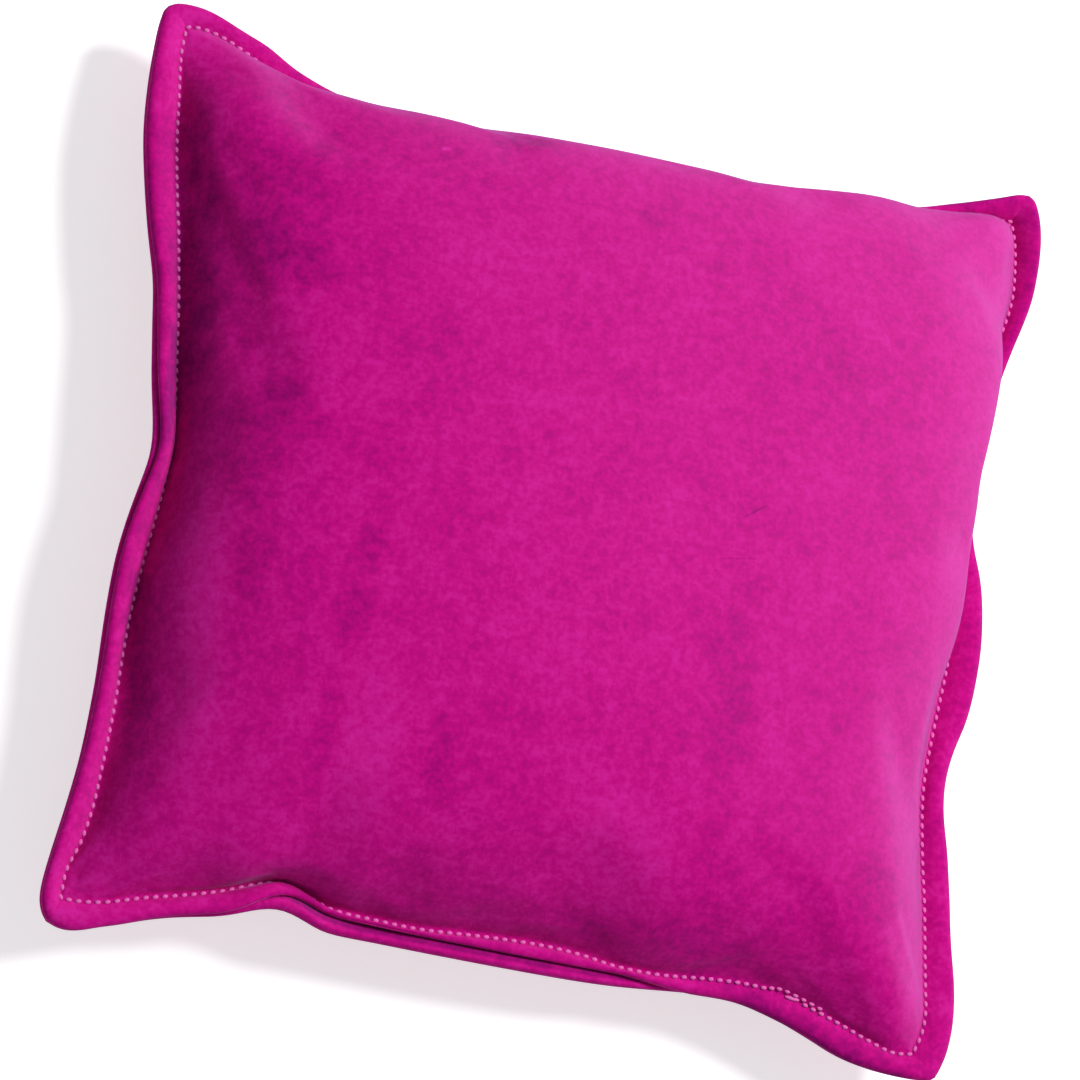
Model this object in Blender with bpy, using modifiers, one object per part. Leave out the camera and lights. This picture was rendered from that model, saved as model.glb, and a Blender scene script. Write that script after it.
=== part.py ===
# Toss bean bag lying flat: two square suede panels, turned right side out and topstitched, round loose fill.
# Lengths are in metres. +Z is up, and the bag rests on Z = 0 with its centre over the origin.

import math

import bmesh
import bpy
from mathutils import Vector

# Outline, seen from above
side_length = 0.152  # between the tips of two neighbouring corners
flange_width = 0.0054  # from the topstitch to the edge
draw_in = 0.0075  # how far the fill pulls the middle of a side in
corner_ease = 0.0010  # how far a turned corner falls short of a sharp one

# Filled form
seam_height = 0.0155  # of the seam above the ground
corner_droop = 0.0025  # how much lower the seam runs at the corners
crown_height = 0.0210  # of the top panel above the seam
belly_depth = 0.0180  # of the bottom panel below the seam, before the ground flattens it
wall_swell = 0.0100  # how far the packed fill pushes the shoulder of the form outwards
wall_slant = 0.0017  # how far the foot of the wall leans in over the seam
edge_lift = 0.0030  # the greatest rise of the flange at its edge, where it stands up at the waists

# Cloth and seams
cloth_thickness = 0.0006
seam_allowance = 0.0080  # cloth turned in at the edge
fold_space = 0.00085  # between a folded edge and its own seam allowance
stitch_space = 0.0002  # the same, where the topstitch pulls the layers together
piece_gap = 0.0003  # between touching pieces
raw_edge_gap = 0.0008  # between the allowances' raw edges and the fill
short_fold = 0.0022  # how much deeper the top panel is turned in along the filling opening

# Threads
seam_thread_diameter = 0.00025
topstitch_thread_diameter = 0.00045
topstitch_clearance = 0.0009  # from the foot of the crown to the needle thread
overlap_offset = 0.0010  # between the two rows where the topstitch ends beside its own start
overlap_rows = 2  # rows of the cloth that the overlap runs along

# Resolution of the cloth
rows_each_way = 15
roll_steps = 3  # faces round a folded edge
thread_sides_level = 1  # bevel resolution 1 gives a six-sided thread

# The panels' forms as powers
dome_power = 0.8  # below 1 it makes a fuller, flatter crown
swell_skew_power = 1.25
swell_power = 1.3
slant_rise = 18.0  # above 10 the slant is all there within a tenth of the half side
slant_fade_power = 0.15

# Draw-in along each side: how far along the half side, and how much of draw_in
left_draw_shares = (
    (-1.0, 0.0), (-0.8, 0.15), (-0.64, 0.3), (-0.34, 0.37), (-0.2, 0.5), (0.04, 0.8), (0.28, 0.58),
    (0.42, 0.42), (0.54, 0.18), (0.66, -0.02), (0.8, -0.18), (1.0, 0.0),
)
bottom_draw_shares = (
    (-1.0, 0.0), (-0.88, 0.1), (-0.7, 0.68), (-0.52, 1.15), (-0.4, 0.85), (0.0, 0.75),
    (0.3, 0.8), (0.5, 0.9), (0.65, 0.5), (0.8, 0.03), (1.0, 0.0),
)
right_draw_shares = (
    (-1.0, 0.0), (-0.87, -0.13), (-0.6, 0.25), (-0.4, 0.65), (-0.25, 0.35), (-0.06, 0.16),
    (0.1, 0.45), (0.28, 0.72), (0.45, 0.45), (0.62, 0.12), (0.82, -0.3), (1.0, 0.0),
)
top_draw_shares = (
    (-1.0, 0.0), (-0.85, 0.25), (-0.7, 0.9), (-0.45, 1.15), (0.0, 1.2), (0.45, 1.15),
    (0.7, 0.95), (0.85, 0.5), (1.0, 0.0),
)

# Swell of the shoulder along each side, as a share of wall_swell
left_swell_shares = (
    (-1.0, 0.0), (-0.55, 0.03), (-0.33, 0.15), (-0.13, 0.25), (0.1, 0.25), (0.25, 0.15), (0.45, 0.03),
    (1.0, 0.0),
)
bottom_swell_shares = (
    (-1.0, 0.0), (-0.78, 0.06), (-0.67, 0.25), (-0.53, 0.3), (-0.42, 0.12), (-0.25, 0.0), (1.0, 0.0),
)
right_swell_shares = (
    (-1.0, 0.1), (-0.77, 0.15), (-0.42, 0.3), (-0.14, 0.45), (0.0, 0.6), (0.17, 0.8), (0.4, 1.0),
    (0.53, 1.0), (0.62, 0.75), (0.72, 0.4), (0.92, 0.2), (1.0, 0.1),
)
top_swell_shares = (
    (-1.0, 0.1), (-0.86, 0.35), (-0.63, 0.9), (0.0, 1.0), (0.42, 1.05), (0.63, 1.2), (0.78, 1.1),
    (0.92, 0.8), (1.0, 0.4),
)

# Slant of the foot of the wall along each side, as a share of wall_slant
left_slant_shares = (
    (-1.0, 1.0), (-0.5, 1.0), (-0.28, 0.9), (-0.11, 1.05), (0.08, 1.05), (0.28, 0.95), (0.45, 1.05),
    (1.0, 1.1),
)
bottom_slant_shares = (
    (-1.0, 1.0), (-0.77, 0.95), (-0.65, 0.6), (-0.5, 0.6), (-0.37, 0.8), (-0.2, 1.0), (1.0, 1.05),
)
right_slant_shares = (
    (-1.0, 0.9), (-0.77, 1.0), (-0.42, 0.9), (-0.14, 0.7), (0.07, 0.3), (0.21, 0.0), (0.55, 0.05),
    (0.7, 0.6), (0.92, 0.8), (1.0, 0.9),
)
top_slant_shares = ((-1.0, 1.1), (-0.88, 0.8), (-0.68, 0.0), (0.88, 0.0), (1.0, 0.2))

# Rise of the flange's edge along each side, as a share of edge_lift
left_lift_shares = (
    (-1.0, 0.1), (-0.6, 0.3), (-0.2, 0.8), (0.05, 1.0), (0.35, 0.4), (0.65, 0.0), (1.0, 0.1),
)
bottom_lift_shares = (
    (-1.0, 0.1), (-0.75, 0.0), (-0.52, 0.9), (-0.33, 0.2), (0.25, 0.0), (0.6, -0.45), (1.0, 0.0),
)
right_lift_shares = ((-1.0, 0.0), (-0.5, -0.2), (0.0, 0.0), (0.5, -0.25), (0.8, 0.15), (1.0, 0.4))
top_lift_shares = ((-1.0, 0.1), (-0.8, -0.3), (0.6, -0.3), (0.85, 0.1), (1.0, 0.4))

# The filling opening in the bottom side, and the topstitch's start beside it, as shares of the half side
opening_start_share = -0.55
opening_end_share = 0.45
opening_ramp_share = 0.12
topstitch_start_share = 0.65

# Colours, linear
suede_colour = (0.60, 0.012, 0.26, 1.0)
thread_colour = (0.80, 0.30, 0.58, 1.0)
fill_colour = (0.62, 0.50, 0.30, 1.0)

# Worked out from the sizes above
stitch_half = (side_length - flange_width * 2) / 2
half_gap = piece_gap / 2
edge_half_thickness = half_gap + cloth_thickness * 2 + fold_space
stitch_half_thickness = half_gap + cloth_thickness * 2 + stitch_space
fold_radius = (edge_half_thickness - half_gap) / 2
allowance_reach = seam_allowance - flange_width
left_wall = (left_swell_shares, left_slant_shares)
bottom_wall = (bottom_swell_shares, bottom_slant_shares)
right_wall = (right_swell_shares, right_slant_shares)
top_wall = (top_swell_shares, top_slant_shares)


def share_at(table, place):
    """Reads a table of shares at a place, easing from one entry to the next."""
    for (here, value), (there, following) in zip(table, table[1:]):
        if place <= there:
            along = (place - here) / (there - here)
            return value + (following - value) * (1 - math.cos(math.pi * max(along, 0.0))) / 2
    return table[-1][1]


def spread(place):
    """Moves evenly spaced rows of cloth towards the edges, where the form turns fastest."""
    return math.sin(math.pi * place / 2)


def dome(place):
    """Height share of the crown at a place between its middle, 0, and the seam, 1."""
    return math.cos(math.pi * place / 2) ** dome_power if abs(place) < 1 else 0.0


def wall_push(place, across, low_shares, high_shares):
    """How far the fill pushes a row of cloth outwards, less the slant. Both fade towards the corners."""
    swell_shares, slant_shares = high_shares if place >= 0 else low_shares
    shoulder = max(math.sin(math.pi * abs(place) ** swell_skew_power), 0.0) ** swell_power
    foot = (1 - math.exp(slant_rise * (abs(place) - 1))) * spread(place) ** 2
    fade = 1 - across * across
    swell = wall_swell * share_at(swell_shares, spread(across)) * shoulder * fade
    slant = wall_slant * share_at(slant_shares, spread(across)) * foot * fade ** slant_fade_power
    return (swell - slant) * math.copysign(1, place)


def drawn_edge(place, across, low_shares, high_shares):
    """Half width of the bag, to the topstitch, on the side that a place is on."""
    shares = high_shares if place >= 0 else low_shares
    return stitch_half - draw_in * share_at(shares, spread(across))


def plan(p, q, pushed=True):
    """Where a point of a panel lies, seen from above. On the topstitch, p or q is 1 or -1."""
    x = spread(p) * drawn_edge(p, q, left_draw_shares, right_draw_shares)
    y = spread(q) * drawn_edge(q, p, bottom_draw_shares, top_draw_shares)
    if pushed:
        x += wall_push(p, q, left_wall, right_wall)
        y += wall_push(q, p, bottom_wall, top_wall)
    if abs(p) == 1 and abs(q) == 1:
        x -= math.copysign(corner_ease, p)
        y -= math.copysign(corner_ease, q)
    return x, y


def seam_level(p, q):
    return seam_height - corner_droop * (p * q) ** 2


def crown_point(p, q):
    x, y = plan(p, q)
    height = stitch_half_thickness + crown_height * dome(p) * dome(q)
    return Vector((x, y, seam_level(p, q) + height))


def belly_point(p, q):
    x, y = plan(p, q)
    depth = stitch_half_thickness + belly_depth * dome(p) * dome(q)
    return Vector((x, y, max(seam_level(p, q) - depth, 0.0)))


def lift_at(p, q):
    """Share of the greatest rise of the edge, at a place on the topstitch."""
    if abs(p) == 1:
        return share_at(right_lift_shares if p > 0 else left_lift_shares, spread(q))
    return share_at(top_lift_shares if q > 0 else bottom_lift_shares, spread(p))


def rim_point(p, q, out, up):
    """A point of the flange: out from the topstitch, and up from the middle between the panels."""
    x, y = plan(p, q, pushed=False)
    lift = edge_lift * lift_at(p, q) * max(out, 0.0) / flange_width
    reach = math.copysign(math.sqrt(out * out - lift * lift), out)  # a flange that tilts keeps its width
    return Vector((x + reach * spread(p), y + reach * spread(q), seam_level(p, q) + lift + up))


def in_opening(p, q):
    """1 along the filling opening, 0 on the rest of the seam, with a ramp at each end."""
    if q > -1:
        return 0.0
    place = spread(p)
    rise = (place - opening_start_share) / opening_ramp_share
    fall = (opening_end_share - place) / opening_ramp_share
    return max(0.0, min(1.0, rise, fall))


def flange_profile(fold_width):
    """The turned edge in section, from the topstitch round the fold and back in along the allowance."""
    profile = []
    for step in range(roll_steps + 1):
        angle = math.pi * (1 / 2 - step / roll_steps)
        out = fold_width - fold_radius + fold_radius * math.cos(angle)
        profile.append((out, half_gap + fold_radius + fold_radius * math.sin(angle)))
    profile.append((0.0, half_gap))
    profile.append((-allowance_reach, half_gap))
    return profile


def material(name, colour, roughness):
    made = bpy.data.materials.new(name)
    made.use_nodes = True
    shader = made.node_tree.nodes["Principled BSDF"]
    shader.inputs["Base Color"].default_value = colour
    shader.inputs["Roughness"].default_value = roughness
    shader.inputs["Metallic"].default_value = 0.0
    made.diffuse_color = colour
    return made


def add_object(name, mesh, finish):
    mesh.materials.append(finish)
    made = bpy.data.objects.new(name, mesh)
    bag.objects.link(made)
    return made


def cloth_grid(surface):
    """A square of cloth in rows, laid on a surface. Each vertex keeps its place as p and q."""
    cloth = bmesh.new()
    bmesh.ops.create_grid(cloth, x_segments=rows_each_way, y_segments=rows_each_way, size=1)
    p_layer = cloth.verts.layers.float.new("p")
    q_layer = cloth.verts.layers.float.new("q")
    for vertex in cloth.verts:
        vertex[p_layer] = vertex.co.x
        vertex[q_layer] = vertex.co.y
        vertex.co = surface(vertex.co.x, vertex.co.y)
    return cloth, p_layer, q_layer


def grow_rim(cloth, place_vertex):
    """Extrudes the open edge once and puts each new vertex where the function says."""
    border = [edge for edge in cloth.edges if edge.is_boundary]
    grown = bmesh.ops.extrude_edge_only(cloth, edges=border)
    for vertex in grown["geom"]:
        if isinstance(vertex, bmesh.types.BMVert):
            vertex.co = place_vertex(vertex)


def panel(name, surface, side, fold_shortening):
    """One panel: its filled form, the flange and the turned-in allowance. side is 1 for the top one."""
    cloth, p_layer, q_layer = cloth_grid(surface)
    for step in range(len(flange_profile(flange_width))):

        def on_profile(vertex):
            p, q = vertex[p_layer], vertex[q_layer]
            width = flange_width - fold_shortening * in_opening(p, q)
            out, up = flange_profile(width)[step]
            return rim_point(p, q, out, up * side)

        grow_rim(cloth, on_profile)
    if side < 0:
        bmesh.ops.reverse_faces(cloth, faces=cloth.faces)
    mesh = bpy.data.meshes.new(name)
    cloth.to_mesh(mesh)
    cloth.free()
    mesh.shade_smooth()
    made = add_object(name, mesh, suede)
    thick = made.modifiers.new("cloth", "SOLIDIFY")
    thick.thickness = cloth_thickness
    thick.offset = -1
    return made


def fill_half(surface, side):
    """Half of the fill: it lies inside a panel, then runs in along the allowance to the middle level."""
    cloth, p_layer, q_layer = cloth_grid(surface)
    cloth.normal_update()
    inset = cloth_thickness + piece_gap
    allowance_face = half_gap + cloth_thickness + piece_gap
    for vertex in cloth.verts:
        if vertex.is_boundary:
            vertex.co = rim_point(vertex[p_layer], vertex[q_layer], -inset, allowance_face * side)
        else:
            vertex.co -= vertex.normal * (vertex.calc_shell_factor() * inset * side)
    notch_end = -allowance_reach - raw_edge_gap
    for up in (allowance_face, 0.0):

        def round_the_allowance(vertex):
            return rim_point(vertex[p_layer], vertex[q_layer], notch_end, up * side)

        grow_rim(cloth, round_the_allowance)
    if side < 0:
        bmesh.ops.reverse_faces(cloth, faces=cloth.faces)
    mesh = bpy.data.meshes.new("fill_half")
    cloth.to_mesh(mesh)
    cloth.free()
    return mesh


def add_fill():
    """The packed fill: both halves, joined where they meet at the middle level."""
    whole = bmesh.new()
    for surface, side in ((crown_point, 1), (belly_point, -1)):
        half = fill_half(surface, side)
        whole.from_mesh(half)
        bpy.data.meshes.remove(half)
    bmesh.ops.remove_doubles(whole, verts=whole.verts, dist=piece_gap / rows_each_way)
    mesh = bpy.data.meshes.new("fill")
    whole.to_mesh(mesh)
    whole.free()
    mesh.shade_smooth()
    return add_object("fill", mesh, pellets)


def rim_places():
    """The rows' ends round the bag, anticlockwise from the middle of the right side."""
    steps = [2 * row / rows_each_way - 1 for row in range(rows_each_way)]
    right = [(1, step) for step in steps]
    top = [(-step, 1) for step in steps]
    left = [(-1, -step) for step in steps]
    bottom = [(step, -1) for step in steps]
    return right + top + left + bottom


def place_after(places, share):
    """The first of the places on the bottom side that lies at or beyond a share of its half side."""
    return next(i for i, (p, q) in enumerate(places) if q == -1 and share <= spread(p) < 1)


def thread(name, points, diameter):
    """A round thread along a list of points."""
    curve = bpy.data.curves.new(name, "CURVE")
    curve.dimensions = "3D"
    curve.bevel_depth = diameter / 2
    curve.bevel_resolution = thread_sides_level
    curve.use_fill_caps = True
    line = curve.splines.new("POLY")
    line.points.add(len(points) - 1)
    for spot, point in zip(line.points, points):
        spot.co = (*point, 1)
    curve.materials.append(thread_finish)
    made = bpy.data.objects.new(name, curve)
    bag.objects.link(made)
    return made


def seam_thread(name, side):
    """One thread of the seam that joins the panels. It lies in the fold and stops at the opening."""
    out = flange_width - fold_radius - cloth_thickness
    up = (flange_face(out, flange_width) + half_gap) / 2
    places = rim_places()
    first = place_after(places, opening_end_share)
    last = place_after(places, opening_start_share)
    points = [rim_point(p, q, out, up * side) for p, q in places[first:] + places[:last]]
    return thread(name, points, seam_thread_diameter)


def flange_face(out, fold_width):
    """How far the flange's face lies from the middle level. It rises from the topstitch to the fold."""
    share = min(out / (fold_width - fold_radius), 1.0)
    return stitch_half_thickness + (edge_half_thickness - stitch_half_thickness) * share


def topstitch_thread(name, side, fold_shortening):
    """One thread of the topstitch. Its start lies one row further out, and its end passes inside that."""
    places = rim_places()
    first = place_after(places, topstitch_start_share)
    overlap = places[first : first + overlap_rows]
    turned = places[first:] + places[:first] + overlap
    points = []
    for count, (p, q) in enumerate(turned):
        out = topstitch_clearance + (overlap_offset if count < overlap_rows else 0.0)
        width = flange_width - fold_shortening * in_opening(p, q)
        up = flange_face(out, width) + piece_gap + topstitch_thread_diameter / 2
        points.append(rim_point(p, q, out, up * side))
    return thread(name, points, topstitch_thread_diameter)


for old in list(bpy.data.objects):
    bpy.data.objects.remove(old)

bag = bpy.data.collections.new("toss_bean_bag")
bpy.context.scene.collection.children.link(bag)

suede = material("magenta_suede", suede_colour, 0.9)
thread_finish = material("pale_pink_thread", thread_colour, 0.6)
pellets = material("fill_pellets", fill_colour, 0.7)

panel("top_panel", crown_point, 1, short_fold)
panel("bottom_panel", belly_point, -1, 0.0)
add_fill()
seam_thread("seam_needle_thread", 1)
seam_thread("seam_bobbin_thread", -1)
topstitch_thread("topstitch_needle_thread", 1, short_fold)
topstitch_thread("topstitch_bobbin_thread", -1, 0.0)
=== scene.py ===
import math

import bmesh
import bpy
from mathutils import Matrix, Vector, noise


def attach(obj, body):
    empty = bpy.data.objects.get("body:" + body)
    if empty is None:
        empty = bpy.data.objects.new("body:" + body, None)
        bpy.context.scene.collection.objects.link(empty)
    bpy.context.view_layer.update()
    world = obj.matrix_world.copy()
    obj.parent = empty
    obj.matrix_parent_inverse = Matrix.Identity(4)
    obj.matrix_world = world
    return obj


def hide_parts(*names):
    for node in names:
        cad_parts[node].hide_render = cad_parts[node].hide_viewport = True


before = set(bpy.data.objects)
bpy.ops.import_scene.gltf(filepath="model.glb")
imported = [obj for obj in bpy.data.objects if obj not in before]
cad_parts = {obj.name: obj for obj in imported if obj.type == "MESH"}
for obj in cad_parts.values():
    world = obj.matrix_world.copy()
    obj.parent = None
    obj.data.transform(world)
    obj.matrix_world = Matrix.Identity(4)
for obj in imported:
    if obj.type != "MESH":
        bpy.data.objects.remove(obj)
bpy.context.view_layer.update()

mm = 0.001
print("frame loaded:", len(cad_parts), "nodes")

# Bag outline, placed on the ground plan, in mm, seen from above. Each side is a list of
# (along, across): along is y on the left and right sides, and x on the bottom and top sides.
bagShape = {
    "rows": 80,  # rows of cloth each way before subdivision
    "seamHeight": 15.5,
    "cornerDroop": 2.0,
    "cornerArea": 5400,  # x times y at a corner tip
    "crownHeight": 21.0,
    "bellyDepth": 18.0,
    "restSoftness": 2.0,  # radius where the belly meets the ground
    "domePower": 0.8,  # lower is fuller
    "footBack": 0.9,  # from the topstitch in to the foot of the crown
    "lumps": 0.14,  # how far the fill shows through the cloth
    "lumpSize": 17,
    "lumpApart": 40,  # gives the crown and the belly lumps of their own
    "swellBias": 1.25,  # higher moves the swelling towards the seam
    "swellSharpness": 1.3,
    "slantNearness": 18,  # higher keeps the lean closer to the seam
    "slantFade": 0.15,  # how softly the lean dies out at the corners
    "puffFade": 8,  # higher lets a puff reach closer to the seam
    "stitchRow": {
        "left": [
            (-72.0, -73.4), (-67.5, -73.2), (-63, -71.7), (-57, -70.6), (-52, -70.2), (-41, -69.6),
            (-31, -69.5), (-24, -69.2), (-15, -68.3), (-5, -67.2), (3, -66.8), (12, -67.2),
            (23, -68.1), (30, -68.8), (38.5, -69.9), (44, -70.8), (52, -71.9), (60, -72.6),
            (68.5, -73.2), (73.4, -72.8),
        ],
        "bottom": [
            (-73.4, -72.0), (-70.9, -72.1), (-66.5, -71.6), (-60.3, -69.9), (-54, -68.5),
            (-48, -66.9), (-43, -65.2), (-39, -64.4), (-34.5, -65.4), (-30, -66.8), (-23, -67.2),
            (-15, -67.4), (-5, -66.8), (5, -66.5), (12, -66.9), (18, -67.7), (25, -67.8),
            (34, -66.9), (41, -66.6), (46.5, -67.1), (50, -68.0), (53.5, -69.1), (57.5, -70.4),
            (62, -72.0), (67.2, -73.5), (70.8, -73.2),
        ],
        "right": [
            (-73.2, 70.8), (-69.5, 72.0), (-66, 72.2), (-61.7, 71.6), (-56, 70.8), (-48.6, 69.8),
            (-40, 68.4), (-30, 67.4), (-20, 68.0), (-7, 69.3), (0, 69.2), (12, 67.8), (25, 67.6),
            (36, 68.9), (45, 71.2), (52, 73.4), (57, 74.4), (63, 74.4), (67, 74.0), (70.8, 73.0),
        ],
        "top": [
            (-72.8, 73.4), (-70.4, 73.6), (-67, 72.9), (-63.8, 71.6), (-55, 67.2), (-45, 64.2),
            (-36, 63.1), (-15, 62.7), (0, 62.5), (16, 62.6), (34, 63.3), (50, 65.4), (60, 68.0),
            (67, 69.8), (73.0, 70.8),
        ],
    },
    "edge": {
        "left": [
            (-76.0, -74.8), (-74.7, -75.8), (-72.7, -76.5), (-70, -76.6), (-65.5, -76.1),
            (-57, -74.7), (-49, -73.6), (-41, -73.1), (-36, -72.9), (-24, -73.0), (-16, -72.7),
            (-8, -71.5), (-3, -70.3), (1.4, -69.5), (5.5, -69.8), (14, -71.0), (22, -71.8),
            (30, -72.7), (38, -74.7), (46, -76.3), (54.5, -77.6), (63, -77.9), (70, -77.6),
            (73.6, -77.3), (75.5, -76.9), (76.5, -76.2),
        ],
        "bottom": [
            (-74.8, -76.0), (-73, -76.7), (-71.2, -76.9), (-69, -76.5), (-67, -75.8), (-63, -74.6),
            (-59, -73.2), (-55, -72.1), (-51, -71.3), (-47, -70.5), (-43.5, -69.1), (-39.5, -67.7),
            (-35.5, -68.2), (-31, -70.0), (-22, -70.4), (-10, -70.7), (3, -70.9), (15.6, -70.8),
            (24, -70.3), (32.7, -69.7), (37, -69.5), (41, -69.8), (46, -71.0), (50, -72.2),
            (55, -74.1), (59, -75.7), (64, -76.7), (68, -77.1), (72, -77.2), (74.4, -77.0),
            (75.4, -76.3),
        ],
        "right": [
            (-76.3, 75.4), (-74.7, 76.1), (-72, 76.9), (-68, 77.35), (-64, 77.2), (-60, 76.6),
            (-56, 75.7), (-52, 74.95), (-47.5, 74.3), (-43, 73.5), (-39, 72.8), (-35, 71.8),
            (-31, 71.2), (-27, 71.2), (-22, 72.1), (-18, 73.4), (-13.5, 74.2), (-9, 74.6),
            (-5, 74.8), (-0.5, 74.6), (4, 74.1), (8, 73.3), (12, 71.9), (16, 71.1), (21, 70.9),
            (28, 71.2), (38, 72.6), (47.5, 75.0), (52, 76.4), (57, 77.7), (61.5, 78.2), (66, 78.3),
            (70, 77.9), (73.0, 77.1), (74.8, 76.2), (75.5, 75.1),
        ],
        "top": [
            (-76.2, 76.5), (-74.8, 77.2), (-72.4, 77.4), (-70, 77.2), (-67.5, 76.5), (-63, 74.7),
            (-58.5, 73.0), (-54, 70.3), (-45, 67.2), (-36, 66.6), (-15, 66.6), (0, 66.6),
            (16, 66.6), (34, 67.4), (52, 68.8), (56, 69.5), (61, 71.1), (65, 72.4), (70, 74.1),
            (73.3, 75.3), (75.1, 75.5),
        ],
    },
    # how far the flange's edge stands above its stitch row, in mm
    "edgeLift": {
        "left": [
            (-76, 0.2), (-72, 0.2), (-66, 0.7), (-60, 1.1), (-45, 1.3), (-30, 1.8), (-16, 2.9),
            (-5, 4.0), (5, 4.1), (15, 2.8), (27, 1.6), (45, 1.1), (62, 1.1), (69, 0.6),
            (73.4, 0.2), (76, 0.2),
        ],
        "bottom": [
            (-76, 0.2), (-73.4, 0.2), (-68, 0.4), (-60, 0.5), (-48, 1.4), (-40, 3.0), (-33, 1.6),
            (-25, 0.6), (0, 0.4), (22, 0.0), (32, -1.0), (50, -1.4), (63, -0.6), (70, 0.0),
            (76, 0.0),
        ],
        "right": [
            (-76, 0.0), (-72, 0.0), (-60, 0.2), (-50, 0.4), (-30, 0.8), (-5, 1.2), (14, 0.8),
            (40, 0.8), (56, 1.4), (66, 2.2), (71, 2.4), (76, 2.4),
        ],
        "top": [
            (-76, 0.2), (-72.8, 0.2), (-65, -0.4), (-50, -1.0), (0, -1.0), (50, -0.6), (60, 0.6),
            (67, 1.9), (73, 2.4), (77, 2.4),
        ],
    },
    # how far the fill pushes the shoulder of the crown out, in mm
    "swell": {
        "left": [
            (-76, 0.0), (-40, 0.3), (-24, 1.5), (-10, 2.5), (6, 2.5), (18, 1.5), (32, 0.3),
            (76, 0.0),
        ],
        "bottom": [
            (-76, 0.0), (-56, 0.6), (-48, 2.5), (-38, 3.0), (-30, 1.2), (-18, 0.0), (76, 0.0),
        ],
        "right": [
            (-76, 1.0), (-55, 1.5), (-30, 3.0), (-10, 4.5), (0, 6.2), (12, 8.4), (22, 9.8),
            (30, 10.8), (38, 10.6), (44, 8.4), (51, 4.0), (66, 2.0), (76, 1.0),
        ],
        "top": [
            (-76, 1.0), (-62, 3.5), (-45, 9.2), (-20, 10.0), (0, 10.4), (30, 11.4), (45, 13.2),
            (56, 11.5), (66, 8.2), (76, 4.0),
        ],
    },
    # how far the wall just above the seam leans in, in mm
    "slant": {
        "left": [
            (-76, 1.7), (-35, 1.7), (-20, 1.5), (-8, 1.8), (6, 1.8), (20, 1.6), (32, 1.8),
            (76, 1.9),
        ],
        "bottom": [
            (-76, 1.7), (-55, 1.6), (-46, 1.0), (-36, 1.0), (-26, 1.4), (-15, 1.7), (60, 1.9),
            (76, 1.7),
        ],
        "right": [
            (-76, 1.5), (-55, 1.7), (-30, 1.6), (-10, 1.2), (5, 0.5), (15, 0.0), (38, 0.1),
            (50, 1.0), (66, 1.4), (76, 1.6),
        ],
        "top": [(-76, 1.9), (-64, 1.4), (-50, 0.1), (-40, 0.0), (64, 0.0), (76, 0.3)],
    },
    # dents and swellings of the crown: x, y, reach, then the move in x, y and z, in mm
    "puffs": [
        (69.0, 67.5, 7.5, 1.5, 1.3, 1.8),
        (-68.5, 69.0, 6.5, 1.6, -1.6, -1.3),
        (-64.5, 57.0, 11.0, -0.8, 0.5, 1.3),
        (-66.0, 36.0, 11.0, -0.6, 0.0, 0.6),
        (-68.0, -67.5, 7.0, 1.0, 1.0, -0.8),
        (66.5, -68.5, 6.0, -0.6, 0.6, 0.6),
    ],
}

# Turned edge, in mm: each panel's fold, from the crown's foot round the roll and into the groove
foldShape = {
    "footRise": 1.75,
    "rowRise": 1.4,  # where the topstitch pulls the layers together
    "rise": 2.1,
    "riseWander": 0.16,  # uneven thickness of the folded cloth
    "wanderRate": 9,  # higher is more uneven along the side
    "liftFrom": 0.3,  # where the flange starts to turn up, out from the foot
    "liftOver": 1.4,
    "trough": 1.3,  # from the foot to the far side of the stitches' trough
    "troughEase": 0.08,
    "roll": 1.5,
    "rollMost": 0.6,  # share of the fold that the roll may take up
    "rollMiddle": 0.45,  # how high up the roll is widest
    "underRoll": 0.5,  # share of the roll's radius below that height
    "grooveGap": 0.05,
    "grooveDepth": 2.4,
    "cloth": 0.6,
    "openingFrom": -46,  # the filling opening in the bottom side, x
    "openingTo": 30,
    "openingRamp": 13,
    "openingSetBack": 2.2,  # how much deeper the top panel is turned in there
    "openingStep": 0.7,  # how far the line between the folds rises there
    "tuck": 0.4,  # how far the bottom panel's fold is rolled under elsewhere
    "pinch": [(-30, 1.0), (-10, 0.8), (8, 0.8), (24, 1.0)],  # share of the rise on the left side
    "textureFrom": 0.86,  # share of the way to the seam where its texture begins
    "textureReach": 9.0,  # how far up the crown it is measured
}

# Topstitch, in mm
stitchShape = {
    "pitch": 1.54,
    "length": 1.0,
    "width": 0.70,
    "height": 0.50,
    "lean": 10,  # degrees that each stitch turns from the row
    "start": 47.4,  # x on the bottom side
    "firstLength": 2.7,  # the long stitch that closes the row
    "firstGap": 0.2,  # from it to the next one, at the least
    "overlapEnd": 54.6,
    "overlapInset": 0.8,
    "overlapRamp": 4.0,  # length over which the row moves in
    "proud": 0.14,  # how far a stitch stands out of its trough
    "segments": 8,  # faces round a stitch, and along it
    "rings": 6,
}

sides = ("left", "bottom", "right", "top")


def curveAt(points, along):  # smooth line through the given points
    if along <= points[0][0]:
        return points[0][1]
    if along >= points[-1][0]:
        return points[-1][1]
    here = next(i for i in range(len(points) - 1) if along <= points[i + 1][0])
    slopes = []
    for i in (here, here + 1):
        before, after = points[max(i - 1, 0)], points[min(i + 1, len(points) - 1)]
        slopes.append((after[1] - before[1]) / (after[0] - before[0]))
    (x0, y0), (x1, y1) = points[here], points[here + 1]
    span = x1 - x0
    t = (along - x0) / span
    return (
        y0 * (1 + 2 * t) * (1 - t) ** 2
        + slopes[0] * span * t * (1 - t) ** 2
        + y1 * t * t * (3 - 2 * t)
        + slopes[1] * span * t * t * (t - 1)
    )


def spread(place):  # rows lie closer together near the seam
    return math.sin(math.pi * place / 2)


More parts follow.
